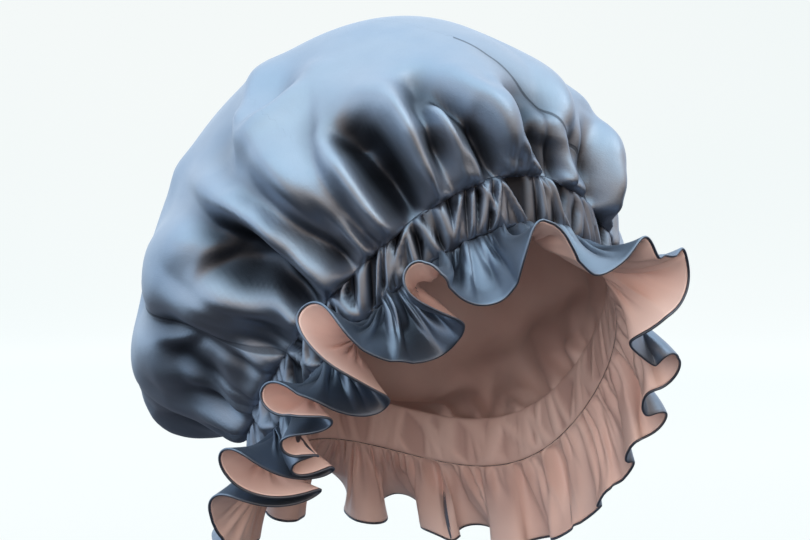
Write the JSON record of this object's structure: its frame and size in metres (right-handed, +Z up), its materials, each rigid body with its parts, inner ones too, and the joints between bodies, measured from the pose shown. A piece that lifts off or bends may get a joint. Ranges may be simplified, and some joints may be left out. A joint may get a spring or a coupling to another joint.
{
  "type": "sleep bonnet",
  "caption": "Reversible satin sleep bonnet with a puffed crown, a shirred elastic casing and a deep fluted ruffle lined in pink.",
  "frame": {"origin": "middle of the oval band, at the centre of the head that wears it", "axes": "+Z up the worn head, -Y where the face looks, -X the wearer's right side"},
  "size_m": [0.2457, 0.3058, 0.2725],
  "materials": {
    "blue_satin": "slate-blue satin with a soft sheen",
    "casing_satin": "slate-blue satin, closely gathered",
    "pink_satin": "dusty-pink satin lining"
  },
  "bodies": {
    "root": {"crown": "blue_satin", "casing": "casing_satin", "ruffle": "blue_satin", "ruffle_lining": "pink_satin"}
  },
  "joints": []
}
